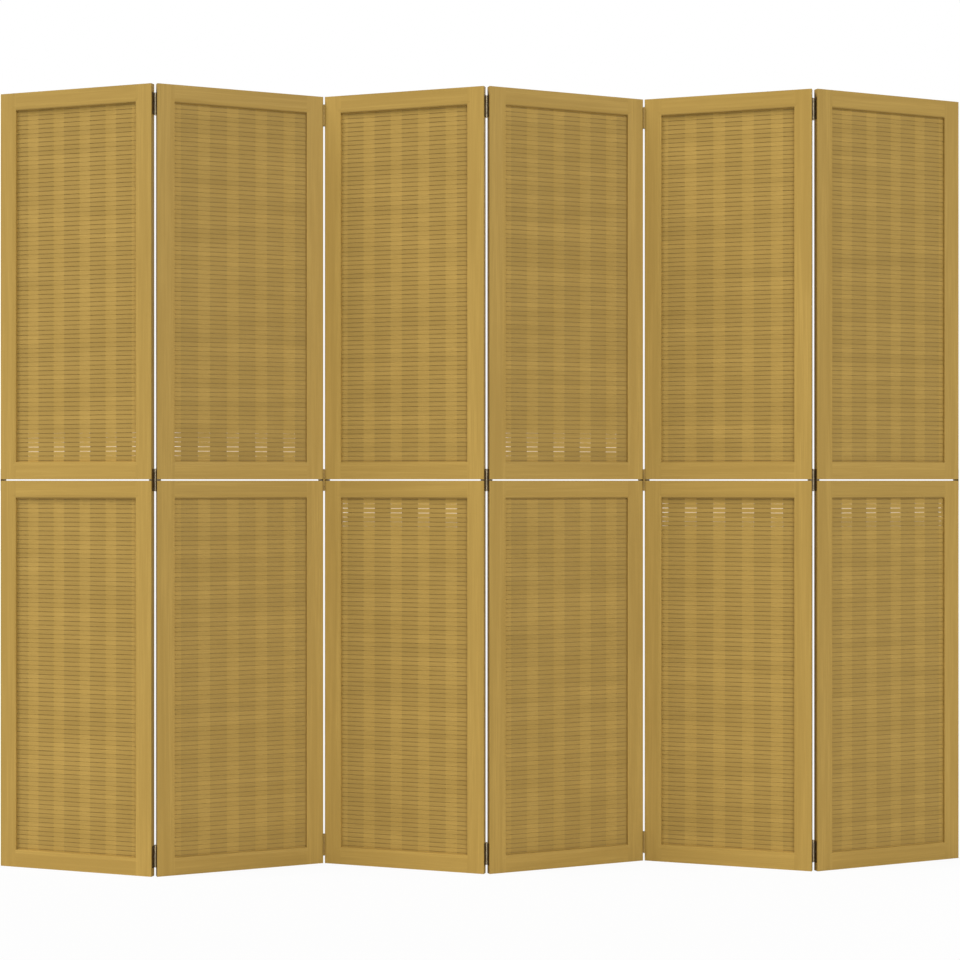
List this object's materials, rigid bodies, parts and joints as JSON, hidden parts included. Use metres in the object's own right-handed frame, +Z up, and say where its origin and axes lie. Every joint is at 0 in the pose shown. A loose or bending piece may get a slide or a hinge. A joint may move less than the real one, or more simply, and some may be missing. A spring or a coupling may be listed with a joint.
{
  "type": "folding screen",
  "caption": "Tall wooden folding screen of hinged framed panels in a zig-zag, each frame filled with a mat of thin horizontal strips over upright laths.",
  "frame": {"origin": "middle of the zig-zag at floor level", "axes": "+X along the screen to the right as seen from the front, -Y towards the viewer, +Z up"},
  "size_m": [2.2608, 0.1442, 1.8],
  "materials": {
    "frame_wood": "satin straw-coloured wood, thinly varnished",
    "strip_wood": "satin split wood strips",
    "lath_wood": "plain sawn wood",
    "dark_bronze": "dark bronzed steel, satin",
    "steel": "dull plated steel"
  },
  "bodies": {
    "panel_1": {"panel_1_stiles": "frame_wood", "panel_1_rails": "frame_wood", "panel_1_laths": "lath_wood", "panel_1_front_strips": "strip_wood", "panel_1_back_strips": "strip_wood", "panel_1_screws": "steel", "fold_12_left_leaves": "dark_bronze", "fold_12_pins": "steel", "left_end_plate": "dark_bronze"},
    "panel_2": {"panel_2_stiles": "frame_wood", "panel_2_rails": "frame_wood", "panel_2_laths": "lath_wood", "panel_2_front_strips": "strip_wood", "panel_2_back_strips": "strip_wood", "panel_2_screws": "steel", "fold_12_right_leaves": "dark_bronze", "fold_23_left_leaves": "dark_bronze", "fold_23_pins": "steel"},
    "panel_3": {"panel_3_stiles": "frame_wood", "panel_3_rails": "frame_wood", "panel_3_laths": "lath_wood", "panel_3_front_strips": "strip_wood", "panel_3_back_strips": "strip_wood", "panel_3_screws": "steel", "fold_23_right_leaves": "dark_bronze", "fold_34_left_leaves": "dark_bronze", "fold_34_pins": "steel"},
    "panel_4": {"panel_4_stiles": "frame_wood", "panel_4_rails": "frame_wood", "panel_4_laths": "lath_wood", "panel_4_front_strips": "strip_wood", "panel_4_back_strips": "strip_wood", "panel_4_screws": "steel", "fold_34_right_leaves": "dark_bronze", "fold_45_left_leaves": "dark_bronze", "fold_45_pins": "steel"},
    "panel_5": {"panel_5_stiles": "frame_wood", "panel_5_rails": "frame_wood", "panel_5_laths": "lath_wood", "panel_5_front_strips": "strip_wood", "panel_5_back_strips": "strip_wood", "panel_5_screws": "steel", "fold_45_right_leaves": "dark_bronze", "fold_56_left_leaves": "dark_bronze", "fold_56_pins": "steel"},
    "panel_6": {"panel_6_stiles": "frame_wood", "panel_6_rails": "frame_wood", "panel_6_laths": "lath_wood", "panel_6_front_strips": "strip_wood", "panel_6_back_strips": "strip_wood", "panel_6_screws": "steel", "fold_56_right_leaves": "dark_bronze", "right_end_plate": "dark_bronze"}
  },
  "joints": [
    {"name": "fold_23", "type": "hinge", "parent": "panel_3", "child": "panel_2", "pos_m": [-0.37728, 0.05656, 0.9], "axis": [0, 0, 1], "range_deg": [-39, 141]},
    {"name": "fold_12", "type": "hinge", "parent": "panel_2", "child": "panel_1", "pos_m": [-0.75456, -0.05656, 0.9], "axis": [0, 0, -1], "range_deg": [-39, 141]},
    {"name": "fold_34", "type": "hinge", "parent": "panel_3", "child": "panel_4", "pos_m": [0, -0.05656, 0.9], "axis": [0, 0, 1], "range_deg": [-39, 141]},
    {"name": "fold_45", "type": "hinge", "parent": "panel_4", "child": "panel_5", "pos_m": [0.37728, 0.05656, 0.9], "axis": [0, 0, -1], "range_deg": [-39, 141]},
    {"name": "fold_56", "type": "hinge", "parent": "panel_5", "child": "panel_6", "pos_m": [0.75456, -0.05656, 0.9], "axis": [0, 0, 1], "range_deg": [-39, 141]}
  ]
}
